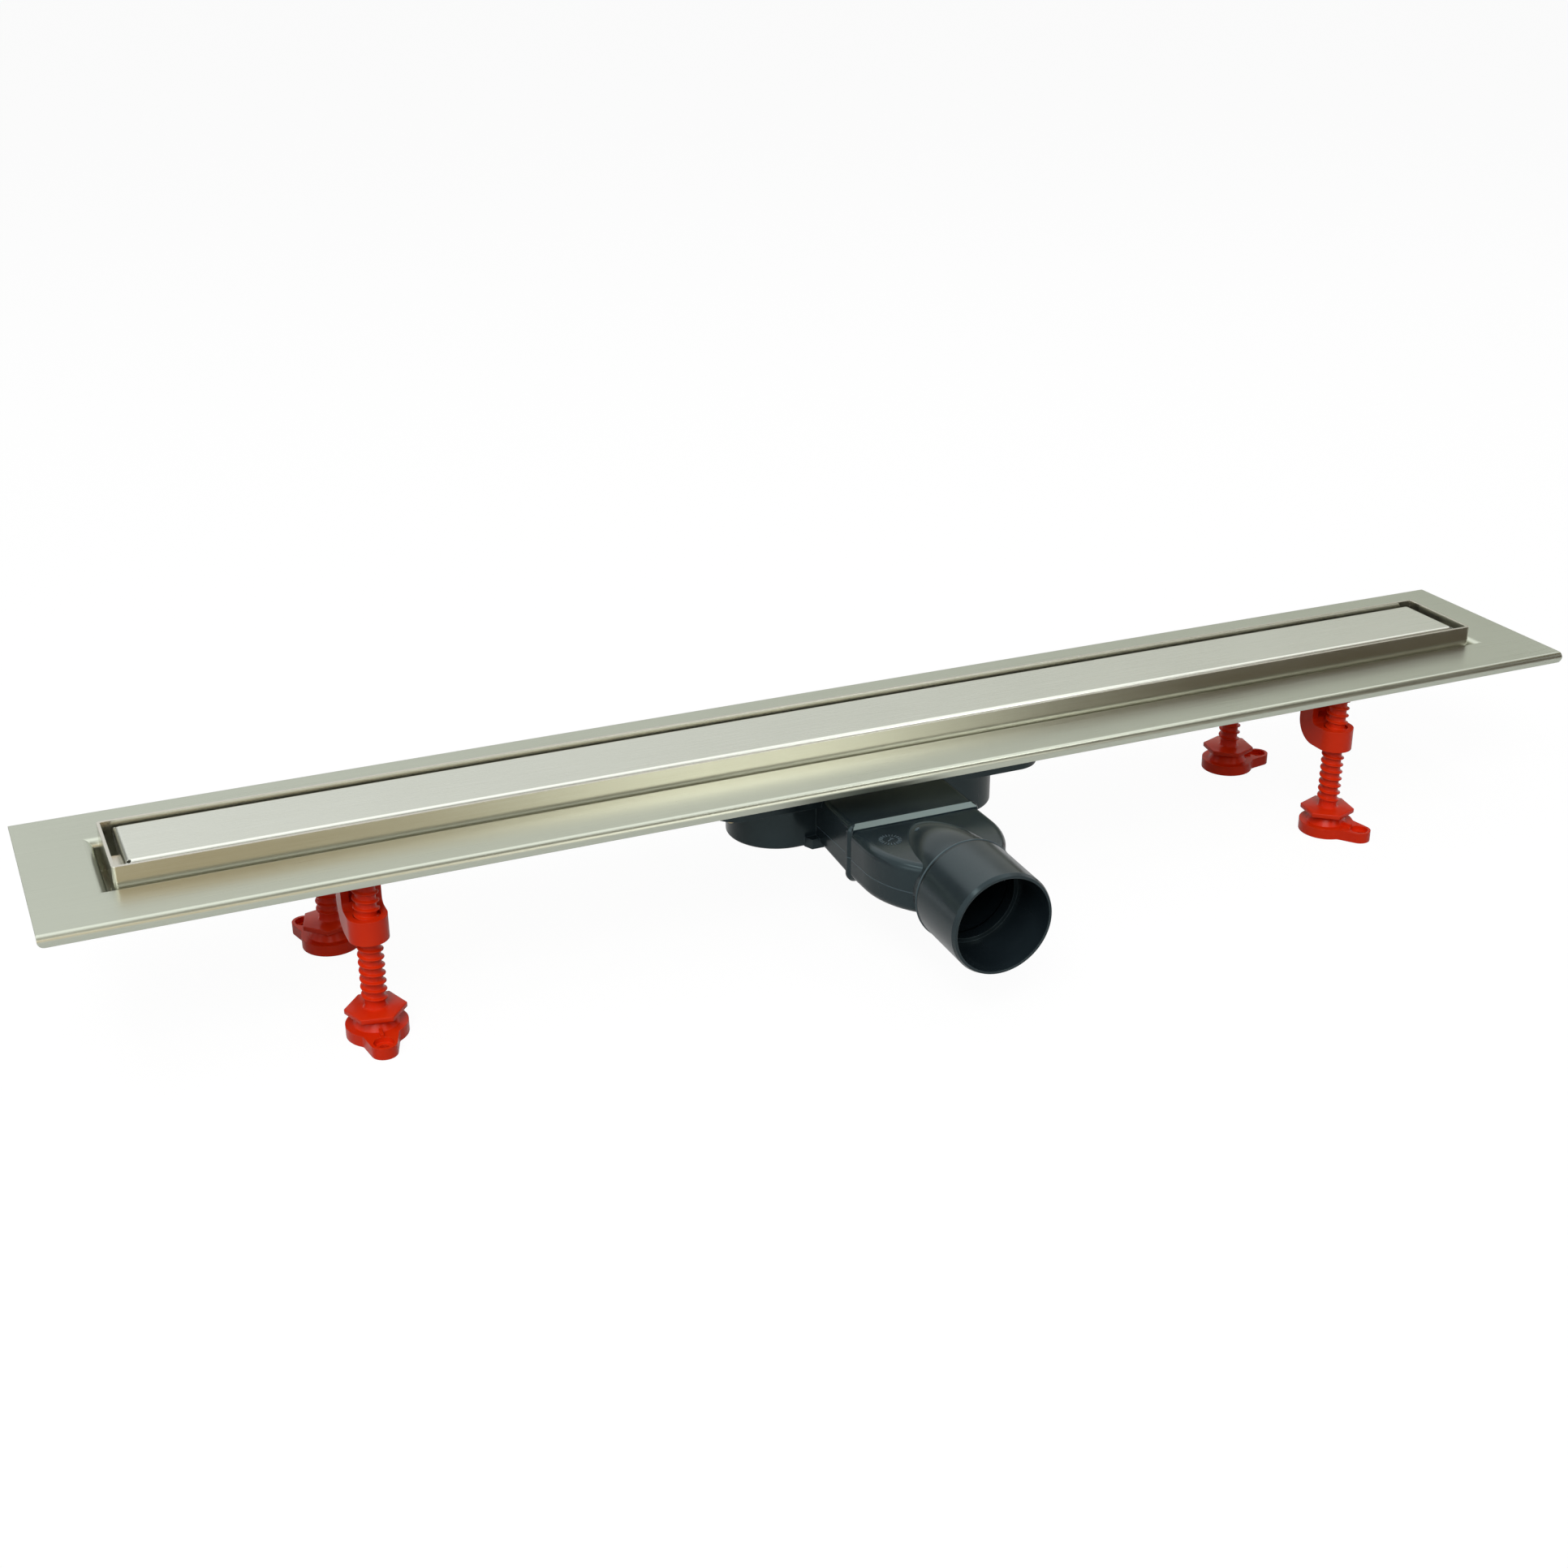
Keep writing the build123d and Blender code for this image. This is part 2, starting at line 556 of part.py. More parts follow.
def insert_seal():
    """Flat ring under the insert's flange."""
    return prism(oblong(INSERT_RADIUS) - oblong(INLET_RADIUS), PLATE_TOP, INSERT_UNDER)


def hair_strainer():
    """Slotted basket that hangs by its rim in the insert."""
    bottom = INSERT_TOP - STRAINER_DEPTH
    rim = prism(oblong(INSERT_RADIUS), INSERT_TOP, INSERT_TOP + STRAINER_WALL)
    basket = rim + prism(oblong(BASKET_RADIUS), bottom, INSERT_TOP)
    inner_radius = BASKET_RADIUS - STRAINER_WALL
    basket -= prism(oblong(inner_radius), bottom + STRAINER_WALL, INSERT_TOP + STRAINER_WALL)
    slot_length = 2 * (inner_radius - SLOT_MARGIN)
    slots = int(INLET_STRAIGHT / SLOT_PITCH)
    for index in range(slots + 1):
        x = INLET_SHIFT + (index - slots / 2) * SLOT_PITCH
        slot = Pos(x, 0, 0) * Rectangle(SLOT_WIDTH, slot_length)
        basket -= prism(slot, bottom, bottom + STRAINER_WALL)
    return basket


def foot_bracket():
    """Elbow of a front foot: a recessed leg under the flange and an arm with a nose round the spindle."""
    arm = side_view(
        [
            (0, ARM_BOTTOM),
            (LEG_BACK, ARM_BOTTOM),
            (LEG_BACK, FLANGE_UNDER),
            (NOSE_REACH, FLANGE_UNDER),
            (NOSE_REACH, ARM_TOP),
            (0, ARM_TOP),
        ],
        ARM_WIDTH,
    )
    arm = fillet(cross_edge(arm, LEG_BACK, ARM_BOTTOM), ELBOW_RADIUS)
    arm = fillet(cross_edge(arm, NOSE_REACH, ARM_TOP), ELBOW_INNER)
    arm = fillet(cross_edge(arm, LEG_BACK, FLANGE_UNDER), LEG_RELIEF)
    bracket = arm + rod(ARM_WIDTH, ARM_BOTTOM, ARM_TOP)
    bracket -= rod(SPINDLE_DIAMETER + 2 * SPINDLE_CLEARANCE, ARM_BOTTOM, ARM_TOP)
    recess = ARM_WIDTH / 2 - RECESS_WALL
    recess_bottom = ARM_TOP + ELBOW_INNER
    recess_back = NOSE_REACH + RECESS_DEPTH
    bracket -= block(-recess, recess, NOSE_REACH, recess_back, recess_bottom, recess_bottom + RECESS_HEIGHT)
    stud_hole = STUD_DIAMETER + 2 * THREAD_FIT
    bracket -= rod(stud_hole, FLANGE_UNDER - STUD_LENGTH, FLANGE_UNDER, 0, STUD_REACH)
    return bracket


def spindle(hex_turn):
    """Foot screw with a hexagonal plate to turn it and a button that snaps into the pad."""
    shank = rod(SPINDLE_DIAMETER, THREAD_START, SPINDLE_TOP)
    shank = chamfer(shank.edges().group_by(Axis.Z)[-1], SPINDLE_TIP)
    hexagon = Rot(0, 0, hex_turn) * RegularPolygon(HEX_ACROSS_FLATS / 2, 6, major_radius=False)
    body = shank + rod(NECK_DIAMETER, HEX_TOP, THREAD_START) + prism(hexagon, HEX_BOTTOM, HEX_TOP)
    body += rod(STEM_DIAMETER, BUTTON_TOP, HEX_BOTTOM)
    return body + rod(BUTTON_DIAMETER, BUTTON_BOTTOM, BUTTON_TOP)


def foot_pad(lug_turn):
    """Round foot with a conical snap socket, and a lug with a recessed screw hole."""
    lug_plan = make_hull(
        (Pos(LUG_ROOT_REACH, 0) * Circle(LUG_ROOT_RADIUS) + Pos(LUG_REACH, 0) * Circle(LUG_RADIUS)).edges()
    )
    pad = rod(PAD_DIAMETER, 0, PAD_THICKNESS) + prism(lug_plan, 0, PAD_THICKNESS)
    upright = pad.edges().filter_by(Axis.Z)
    corners = [
        edge
        for edge in upright
        if abs(edge.center().X) > NEAR and abs(edge.center().Y) > LUG_RADIUS
    ]
    pad = fillet(corners, LUG_FILLET)
    socket = Cone(SOCKET_BASE_DIAMETER / 2, SOCKET_TOP_DIAMETER / 2, SOCKET_HEIGHT)
    pad += Pos(0, 0, PAD_THICKNESS + SOCKET_HEIGHT / 2) * socket
    rib_end = LUG_REACH - LUG_RECESS_DIAMETER / 2
    pad += block(0, rib_end, -RIB_WIDTH / 2, RIB_WIDTH / 2, 0, PAD_THICKNESS + RIB_HEIGHT)
    pad -= rod(BUTTON_DIAMETER + 2 * BUTTON_CLEARANCE, PAD_FLOOR, BUTTON_TOP + BUTTON_CLEARANCE)
    pad -= rod(STEM_DIAMETER + 2 * BUTTON_CLEARANCE, BUTTON_TOP, PAD_TOP)
    pad -= rod(LUG_HOLE_DIAMETER, 0, PAD_THICKNESS, LUG_REACH)
    pad -= rod(LUG_RECESS_DIAMETER, PAD_THICKNESS - LUG_RECESS_DEPTH, PAD_THICKNESS, LUG_REACH)
    return Rot(0, 0, lug_turn) * pad


def bracket_studs():
    """Studs welded under the flange, one in each bracket's leg."""
    reach = FOOT_Y - STUD_REACH
    spots = [(x * FOOT_X, y * reach) for x, y, _, _ in FEET.values()]
    return Compound([rod(STUD_DIAMETER, FLANGE_UNDER - STUD_LENGTH, FLANGE_UNDER, x, y) for x, y in spots])


parts = {
    "channel_tray": channel_tray(),
    "tile_frame": tile_frame(),
    "cover_plate": cover_plate(),
    "cover_rest_left": cover_rest(-1),
    "cover_rest_right": cover_rest(1),
    "siphon_body": siphon_body(),
    "outlet_adapter": outlet_adapter(),
    "outlet_seal": outlet_seal(),
    "flange_gasket": flange_gasket(),
    "clamp_ring": clamp_ring(),
    "clamp_screws": clamp_screws(),
    "trap_insert": trap_insert(),
    "insert_seal": insert_seal(),
    "hair_strainer": hair_strainer(),
    "bracket_studs": bracket_studs(),
}
for foot, (side_x, side_y, hex_turn, lug_turn) in FEET.items():
    place = Pos(side_x * FOOT_X, side_y * FOOT_Y, 0)
    facing = Rot(0, 0, 0 if side_y < 0 else 180)
    parts[f"foot_bracket_{foot}"] = place * facing * foot_bracket()
    parts[f"spindle_{foot}"] = place * spindle(hex_turn)
    parts[f"foot_pad_{foot}"] = place * foot_pad(lug_turn)

os.makedirs("parts", exist_ok=True)
for name, shape in parts.items():
    export_step(Pos(0, CENTRE_SHIFT, 0) * shape, f"parts/{name}.step")
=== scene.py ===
import math
import bpy
from mathutils import Matrix, Vector


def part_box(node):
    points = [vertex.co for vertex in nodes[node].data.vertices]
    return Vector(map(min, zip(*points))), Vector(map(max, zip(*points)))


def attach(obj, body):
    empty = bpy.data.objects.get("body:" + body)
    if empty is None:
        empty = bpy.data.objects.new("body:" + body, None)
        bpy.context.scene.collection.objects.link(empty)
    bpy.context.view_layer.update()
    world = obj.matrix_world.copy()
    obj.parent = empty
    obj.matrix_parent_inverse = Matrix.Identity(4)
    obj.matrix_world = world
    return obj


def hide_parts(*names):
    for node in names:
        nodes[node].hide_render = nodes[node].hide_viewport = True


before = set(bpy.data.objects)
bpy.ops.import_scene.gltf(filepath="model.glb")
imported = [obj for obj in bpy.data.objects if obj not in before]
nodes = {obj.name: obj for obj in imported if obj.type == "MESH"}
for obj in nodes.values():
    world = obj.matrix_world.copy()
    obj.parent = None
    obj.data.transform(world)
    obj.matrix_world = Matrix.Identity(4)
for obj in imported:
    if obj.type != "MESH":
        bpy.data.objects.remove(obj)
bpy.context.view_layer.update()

MM = 0.001
FEET = ("front_left", "front_right", "back_left", "back_right")

SAME_SPOT = 1e-7        # metres within which two points count as one
WELD = 1e-6             # metres within which vertices are merged
SHARP_ANGLE = 35        # degrees: a modelled piece's steeper edges stay sharp
STEPS_A_TURN = 40       # of a screw thread


# Small helpers: colours and shader nodes

def mm(*values):
    """Millimetres as the metres of the scene."""
    return [value * MM for value in values]


def srgb(code):
    """A colour written as an sRGB hex value, as the linear value that a shader takes."""
    parts = [int(code[i:i + 2], 16) / 255 for i in (1, 3, 5)]
    return tuple(c / 12.92 if c <= 0.04045 else ((c + 0.055) / 1.055) ** 2.4 for c in parts) + (1,)


def add(tree, kind, settings=None, **inputs):
    """Adds a node, sets it up, and links or fills its inputs.
    An input's name is written with _ for a space, or as i and its number."""
    node = tree.nodes.new(kind)
    for name, value in (settings or {}).items():
        setattr(node, name, value)
    for name, value in inputs.items():
        numbered = name[0] == "i" and name[1:].isdigit()
        socket = node.inputs[int(name[1:])] if numbered else node.inputs[name.replace("_", " ")]
        if isinstance(value, bpy.types.NodeSocket):
            tree.links.new(value, socket)
        else:
            socket.default_value = value
    return node


def calc(tree, operation, *values):
    """What a Math node makes of one to three values."""
    inputs = {f"i{number}": value for number, value in enumerate(values)}
    return add(tree, "ShaderNodeMath", {"operation": operation}, **inputs).outputs[0]


def dot(tree, first, second):
    return add(tree, "ShaderNodeVectorMath", {"operation": "DOT_PRODUCT"}, i0=first, i1=second).outputs["Value"]


def ramp(tree, value, start, end, low, high):
    """A value's way from start to end, turned into a way from low to high."""
    return add(tree, "ShaderNodeMapRange", i0=value, i1=start, i2=end, i3=low, i4=high).outputs[0]


def blend(tree, share, first, second):
    """Two colours mixed: all of the second where the share is one."""
    return add(tree, "ShaderNodeMix", {"data_type": "RGBA"}, i0=share, i6=first, i7=second).outputs[2]


def noise(tree, place, size_mm, detail):
    return add(tree, "ShaderNodeTexNoise", Vector=place, Scale=1 / (size_mm * MM), Detail=detail).outputs["Fac"]


def soft_edge(tree, radius_mm):
    """A normal that is rounded at the edges, and how flat the surface is: one on a face, less on an edge."""
    edge = add(tree, "ShaderNodeBevel", {"samples": 4}, Radius=radius_mm * MM).outputs[0]
    return edge, dot(tree, edge, add(tree, "ShaderNodeNewGeometry").outputs["Normal"])


def new_material(name):
    material = bpy.data.materials.new(name)
    material.use_nodes = True
    material.node_tree.nodes.clear()
    return material, material.node_tree


def dress(material, *names):
    """Puts a material in all the slots of CAD nodes."""
    for name in names:
        mesh = nodes[name].data
        if not mesh.materials:
            mesh.materials.append(material)
        for i in range(len(mesh.materials)):
            mesh.materials[i] = material


# Small helpers: the steps of modelling by hand

def start_clean():
    if bpy.context.mode != "OBJECT":
        bpy.ops.object.mode_set(mode="OBJECT")
    bpy.ops.object.select_all(action="DESELECT")


def pick(*objects):
    start_clean()
    for o in objects:
        o.select_set(True)
    bpy.context.view_layer.objects.active = objects[0]


def edit_all(piece):
    """Opens a piece for editing with all of it selected."""
    pick(piece)
    bpy.ops.object.mode_set(mode="EDIT")
    bpy.ops.mesh.select_all(action="SELECT")


def close_edit():
    bpy.ops.object.mode_set(mode="OBJECT")


def joined(name, *objects):
    pick(*objects)
    if len(objects) > 1:
        bpy.ops.object.join()
    objects[0].name = name
    return objects[0]


def settle(piece, place, rotation):
    """Turns a piece and puts it in its place, in metres, with the object left at the origin."""
    piece.rotation_euler = rotation
    piece.location = place
    pick(piece)
    bpy.ops.object.transform_apply(location=True, rotation=True, scale=True)


def facing(direction, front="Z"):
    """The rotation that turns an object's front to a direction."""
    return Vector(direction).to_track_quat(front, "Y").to_euler()


def coat(piece, material):
    """Smooths a modelled piece up to its sharp edges and gives it its one material."""
    pick(piece)
    bpy.ops.object.shade_smooth_by_angle(angle=math.radians(SHARP_ANGLE))
    piece.data.materials.clear()
    piece.data.materials.append(material)


def outline(points, close=False):
    """One vertex extruded from point to point in the XZ plane, in millimetres."""
    start_clean()
    bpy.ops.mesh.primitive_plane_add(size=MM)
    bpy.ops.object.mode_set(mode="EDIT")
    bpy.ops.mesh.select_mode(type="VERT")
    bpy.ops.mesh.select_all(action="SELECT")
    bpy.ops.mesh.merge(type="CENTER")
    x, z = points[0]
    bpy.ops.transform.translate(value=(x * MM, 0, z * MM))
    for (x0, z0), (x1, z1) in zip(points, points[1:]):
        step = ((x1 - x0) * MM, 0, (z1 - z0) * MM)
        bpy.ops.mesh.extrude_region_move(TRANSFORM_OT_translate={"value": step})
    if close:
        ends = [Vector((x * MM, 0, z * MM)) for x, z in (points[0], points[-1])]
        bpy.ops.mesh.select_all(action="DESELECT")
        close_edit()
        for vertex in bpy.context.object.data.vertices:
            vertex.select = any((vertex.co - end).length < SAME_SPOT for end in ends)
        bpy.ops.object.mode_set(mode="EDIT")
        bpy.ops.mesh.edge_face_add()
    close_edit()
    return bpy.context.object


def turned(name, points, steps=64):
    """A turned shape about the Z axis: its half outline spun once round and closed."""
    piece = outline(points)
    edit_all(piece)
    bpy.ops.mesh.spin(steps=steps, angle=2 * math.pi, center=(0, 0, 0), axis=(0, 0, 1))
    bpy.ops.mesh.select_all(action="SELECT")
    bpy.ops.mesh.remove_doubles(threshold=WELD)
    bpy.ops.mesh.normals_make_consistent(inside=False)
    close_edit()
    piece.name = name
    return piece


def thread_ridge(name, section, pitch, low, high, hand):
    """A screw's one ridge: its section carried round and up by the pitch, and capped at both ends.
    The hand is 1 for a right-hand thread and -1 for a left-hand one."""
    ridge = outline(section, close=True)
    turns = (high - low) / pitch
    twist = ridge.modifiers.new("thread", "SCREW")
    twist.angle = hand * 2 * math.pi * turns
    twist.screw_offset = (high - low) * MM
    twist.steps = int(STEPS_A_TURN * turns)
    twist.render_steps = twist.steps
    twist.use_merge_vertices = False
    pick(ridge)
    bpy.ops.object.modifier_apply(modifier="thread")
    bpy.ops.object.mode_set(mode="EDIT")
    bpy.ops.mesh.select_all(action="DESELECT")
    bpy.ops.mesh.select_mode(type="EDGE")
    bpy.ops.mesh.select_non_manifold(extend=False, use_wire=False, use_multi_face=False, use_non_contiguous=False,
                                     use_verts=False)
    bpy.ops.mesh.edge_face_add()
    bpy.ops.mesh.select_all(action="SELECT")
    bpy.ops.mesh.normals_make_consistent(inside=False)
    bpy.ops.transform.translate(value=(0, 0, low * MM))
    close_edit()
    ridge.name = name
    return ridge


def bar(name, size, middle, bevel):
    """A bar with softened edges, in millimetres."""
    start_clean()
    bpy.ops.mesh.primitive_cube_add(size=MM)
    piece = bpy.context.object
    edit_all(piece)
    bpy.ops.transform.resize(value=size)
    bpy.ops.mesh.bevel(offset=bevel * MM, segments=2, affect="EDGES")
    bpy.ops.transform.translate(value=mm(*middle))
    close_edit()
    piece.name = name
    return piece


def copy_to(model, name, place, turn):
    """A copy with its own mesh, turned by degrees about the Z axis and put in its place."""
    pick(model)
    bpy.ops.object.duplicate(linked=False)
    piece = bpy.context.object
    piece.name = name
    piece.data.name = name
    settle(piece, place, (0, 0, math.radians(turn)))
    return piece


# Materials

def steel(name, colour, streak, roughness, grain_mm, length_mm, bump):
    """Stainless steel sheet with a brushed face: satin, with hair-fine lines along the brushing.
    The eye sees a soft mirror with faint lighter and darker streaks, and edges a little brighter: partly rubbing,
    partly a painted highlight."""
    material, tree = new_material(name)
    place = add(tree, "ShaderNodeTexCoord").outputs["Object"]
    normal = add(tree, "ShaderNodeNewGeometry").outputs["True Normal"]
    across = add(tree, "ShaderNodeSeparateXYZ", Vector=normal).outputs["X"]
    end_face = calc(tree, "GREATER_THAN", calc(tree, "ABSOLUTE", across), 0.8)
    # The lines run along X, and along Y on the faces that look along X
    fine, long = 1 / (grain_mm * MM), 1 / (length_mm * MM)
    along_x = add(tree, "ShaderNodeMapping", Vector=place, Scale=(long, fine, fine)).outputs[0]
    along_y = add(tree, "ShaderNodeMapping", Vector=place, Scale=(fine, long, fine)).outputs[0]
    lie = add(tree, "ShaderNodeMix", {"data_type": "VECTOR"}, i0=end_face, i4=along_x, i5=along_y).outputs[1]
    lines = add(tree, "ShaderNodeTexNoise", Vector=lie, Scale=1, Detail=3, Roughness=0.6).outputs["Fac"]
    cloud = noise(tree, place, 70, detail=2)
    edge, flat = soft_edge(tree, 0.35)
    # Edges painted a little brighter: partly rubbing, partly a painted highlight along every edge
    edge_wear_and_highlight = ramp(tree, flat, 0.98, 0.80, 0.0, 0.5)
    tint = blend(tree, ramp(tree, lines, 0.25, 0.75, 0, 1), srgb(streak), srgb(colour))
    tint = blend(tree, edge_wear_and_highlight, tint, srgb("#E2E3DC"))
    rough = calc(tree, "MULTIPLY_ADD", lines, 0.12, roughness - 0.09)
    rough = calc(tree, "MULTIPLY_ADD", cloud, 0.06, rough)
    relief = add(tree, "ShaderNodeBump", Strength=bump, Distance=0.02 * MM, Height=lines, Normal=edge).outputs[0]
    shader = add(tree, "ShaderNodeBsdfPrincipled", Base_Color=tint, Metallic=1, Roughness=rough, Normal=relief)
    add(tree, "ShaderNodeOutputMaterial", Surface=shader.outputs[0])
    return material


# The siphon's seams: the plane's normal, a point on it, the stretch of Y where it shows, in millimetres,
# how far it is raised or sunk, and half its width. A raised seam gets a painted highlight along it, a sunk one
# a painted shadow
SIPHON_SEAMS_AND_PAINTED_LIGHT = (
    ((0, 0, 1), (0, 0, 49.3), -73, 15.5, 3, 0.35),
    ((0, 0.9994, 0.0349), (0, -75.0, 49.5), -80, -66, -6, 0.6),
)
# A near-black painted shadow for the sunk seam's groove
SEAM_SHADOW = "#050607"


def moulded(name, colour, flow, edge_wear_and_highlight_colour, roughness, specular, edge_mm, grain_mm, glow=0.0,
            tint_of_gloss="#FFFFFF", seams_and_painted_light=False):
    """Injection-moulded plastic: coloured in the mass, satin where the mould was ground.
    The eye sees soft highlights on rounded edges, faint flow clouds, a slight orange peel, edges paler (partly
    rubbing, partly a painted highlight), and on a piece of several mould parts the thin lines where they met, with a
    painted highlight along a raised one and a painted shadow in a sunk one."""
    material, tree = new_material(name)
    place = add(tree, "ShaderNodeTexCoord").outputs["Object"]
    cloud = noise(tree, place, 18, detail=3)
    height = noise(tree, place, grain_mm, detail=2)
    edge, flat = soft_edge(tree, edge_mm)
    # Edges paler: partly rubbing, partly a painted highlight along every edge
    edge_wear_and_highlight = ramp(tree, flat, 0.98, 0.75, 0.0, 0.45)
    tint = blend(tree, ramp(tree, cloud, 0.3, 0.7, 0, 1), srgb(colour), srgb(flow))
    if seams_and_painted_light:
        # Parting lines, 0.1 mm wide on the real piece and drawn about 1 mm wide so that they show: a raised
        # one level round the outlet's sides, painted paler as a painted highlight, and a sunk one round the spigot's
        # root where the mould's sleeve slid, painted nearly black as a painted shadow of its groove
        spot = add(tree, "ShaderNodeSeparateXYZ", Vector=place).outputs["Y"]
        for normal, point, low, high, raised, half in SIPHON_SEAMS_AND_PAINTED_LIGHT:
            away = add(tree, "ShaderNodeVectorMath", {"operation": "SUBTRACT"}, i0=place, i1=mm(*point)).outputs[0]
            away = calc(tree, "ABSOLUTE", dot(tree, away, normal))
            line = ramp(tree, away, half * MM * 0.4, half * MM, 1, 0)
            line = calc(tree, "MULTIPLY", line, calc(tree, "GREATER_THAN", spot, low * MM))
            line = calc(tree, "MULTIPLY", line, calc(tree, "LESS_THAN", spot, high * MM))
            # A raised line takes the paler edge colour, a painted highlight; a sunk one is painted dark, a painted
            # shadow
            if raised > 0:
                edge_wear_and_highlight = calc(tree, "MAXIMUM", edge_wear_and_highlight, line)
            else:
                tint = blend(tree, line, tint, srgb(SEAM_SHADOW))
            height = calc(tree, "MULTIPLY_ADD", line, raised, height)
    # The paler edge colour laid on: partly rubbing, partly a painted highlight
    tint = blend(tree, edge_wear_and_highlight, tint, srgb(edge_wear_and_highlight_colour))
    rough = calc(tree, "MULTIPLY_ADD", cloud, 0.12, roughness - 0.06)
    relief = add(tree, "ShaderNodeBump", Strength=0.10, Distance=0.05 * MM, Height=height, Normal=edge).outputs[0]
    shader = add(tree, "ShaderNodeBsdfPrincipled", Base_Color=tint, Roughness=rough, IOR=1.5, Normal=relief,
                 Specular_IOR_Level=specular, Specular_Tint=srgb(tint_of_gloss), Subsurface_Weight=glow,
                 Subsurface_Radius=(1.0, 0.25, 0.12), Subsurface_Scale=1.5 * MM)
    add(tree, "ShaderNodeOutputMaterial", Surface=shader.outputs[0])
    return material


tray_steel = steel("satin_stainless_sheet", "#BBC0B2", "#B4B9AB",
                   roughness=0.30, grain_mm=0.22, length_mm=60, bump=0.08)
frame_steel = steel("bright_stainless_strip", "#D4D2C8", "#CAC8BC",
                    roughness=0.20, grain_mm=0.22, length_mm=60, bump=0.08)
cover_steel = steel("brushed_stainless_cover", "#D5D8CF", "#CFD2C8",
                    roughness=0.28, grain_mm=0.20, length_mm=45, bump=0.06)
screw_steel = steel("zinc_plated_screw_steel", "#C4B48A", "#A08F64",
                    roughness=0.30, grain_mm=0.4, length_mm=4, bump=0.15)
ring_steel = steel("rolled_stainless_ring", "#B9BAB4", "#9C9C96",
                   roughness=0.34, grain_mm=0.4, length_mm=12, bump=0.15)
COOL_GLOSS = "#CFEAEC"
siphon_plastic = moulded("slate_grey_polypropylene", "#1B2429", "#222C31", "#46545B", roughness=0.20, specular=0.47,
                         edge_mm=0.5, grain_mm=0.8, tint_of_gloss=COOL_GLOSS, seams_and_painted_light=True)
# Paler than the shell's plastic: a painted highlight on the small raised marks
highlit_mark_plastic = moulded("slate_polypropylene_painted_highlight", "#3E4A50", "#465359", "#6E7E84", roughness=0.30, specular=0.47,
                       edge_mm=0.12, grain_mm=0.8, tint_of_gloss=COOL_GLOSS)
# Paler than the shell's plastic: a painted highlight on the collar's sloped edge
highlit_slope_plastic = moulded("slate_polypropylene_slope_highlight", "#67726F", "#6E7A76", "#7C8884", roughness=0.22, specular=0.47,
                         edge_mm=0.12, grain_mm=0.8, tint_of_gloss=COOL_GLOSS)
insert_plastic = moulded("grey_moulded_insert", "#4B5256", "#555C60", "#6A7175", roughness=0.42, specular=0.4,
                         edge_mm=0.4, grain_mm=0.8)
seal_rubber = moulded("black_epdm_rubber", "#141516", "#1B1C1D", "#2A2B2C", roughness=0.75, specular=0.4,
                      edge_mm=0.3, grain_mm=0.5)
foot_plastic = moulded("red_moulded_polyamide", "#E02C0A", "#E6340E", "#EE4C22", roughness=0.24, specular=0.16,
                       edge_mm=0.30, grain_mm=0.9, glow=0.02)

dress(tray_steel, "channel_tray")
dress(frame_steel, "tile_frame", "cover_rest_left", "cover_rest_right")
dress(cover_steel, "cover_plate")
dress(ring_steel, "clamp_ring", "bracket_studs")
dress(screw_steel, "clamp_screws")
dress(siphon_plastic, "siphon_body", "outlet_adapter")
dress(insert_plastic, "trap_insert", "hair_strainer")
dress(seal_rubber, "outlet_seal", "flange_gasket", "insert_seal")
for foot in FEET:
    dress(foot_plastic, f"foot_bracket_{foot}", f"foot_pad_{foot}")


# The threaded spindle, modelled once at the origin and copied to the four feet, in millimetres

CREST, ROOT, PITCH = 5.9, 4.55, 4.0
THREAD_LOW, THREAD_HIGH = 17.0, 73.8
HEX_ACROSS_FLATS, HEX_THICKNESS, HEX_MIDDLE, HEX_EDGE = 24.2, 2.5, 12.15, 0.45
SPINDLE_TURN = {"front_left": 50, "front_right": 20, "back_left": 14, "back_right": 20}     # degrees, as in the photo


def spindle_hexagon():
    """The plate that a spanner turns, with softened edges."""
    start_clean()
    bpy.ops.mesh.primitive_cylinder_add(vertices=6, radius=HEX_ACROSS_FLATS / 2 / math.cos(math.radians(30)) * MM,
                                        depth=HEX_THICKNESS * MM, location=(0, 0, HEX_MIDDLE * MM))
    plate = bpy.context.object
    bpy.ops.object.transform_apply(location=True, rotation=True, scale=True)
    edit_all(plate)
    bpy.ops.transform.rotate(value=math.radians(30), orient_axis="Z", center_override=(0, 0, 0))
    bpy.ops.mesh.bevel(offset=HEX_EDGE * MM, segments=3, affect="EDGES")
    close_edit()
    plate.name = "spindle_hexagon"
    return plate


spindle_core = turned("spindle_core", [
    (0, 2.0), (4.9, 2.0), (5.2, 2.4), (5.2, 6.0), (4.7, 6.5), (3.6, 6.5), (3.6, 12.0), (4.6, 13.0), (5.6, 13.4),
    (4.9, 13.7), (4.6, 14.3), (ROOT, 16.4), (ROOT, 75.2), (3.8, 76.0), (0, 76.0)])
spindle_ridge = thread_ridge("spindle_ridge", [
    (4.2, -0.95), (4.62, -0.85), (5.0, -0.55), (5.5, -0.42), (5.8, -0.28), (CREST, 0.0), (5.8, 0.28), (5.5, 0.42),
    (5.0, 0.55), (4.62, 0.85), (4.2, 0.95)], PITCH, THREAD_LOW, THREAD_HIGH, hand=-1)
model = joined("threaded_spindle", spindle_core, spindle_ridge, spindle_hexagon())
coat(model, foot_plastic)
for foot in FEET:
    low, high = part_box(f"spindle_{foot}")
    middle = ((low.x + high.x) / 2, (low.y + high.y) / 2, 0)
    piece = copy_to(model, f"threaded_spindle_{foot}", middle, SPINDLE_TURN[foot])
    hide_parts(f"spindle_{foot}")
    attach(piece, f"screw_{foot}")
bpy.data.objects.remove(model)


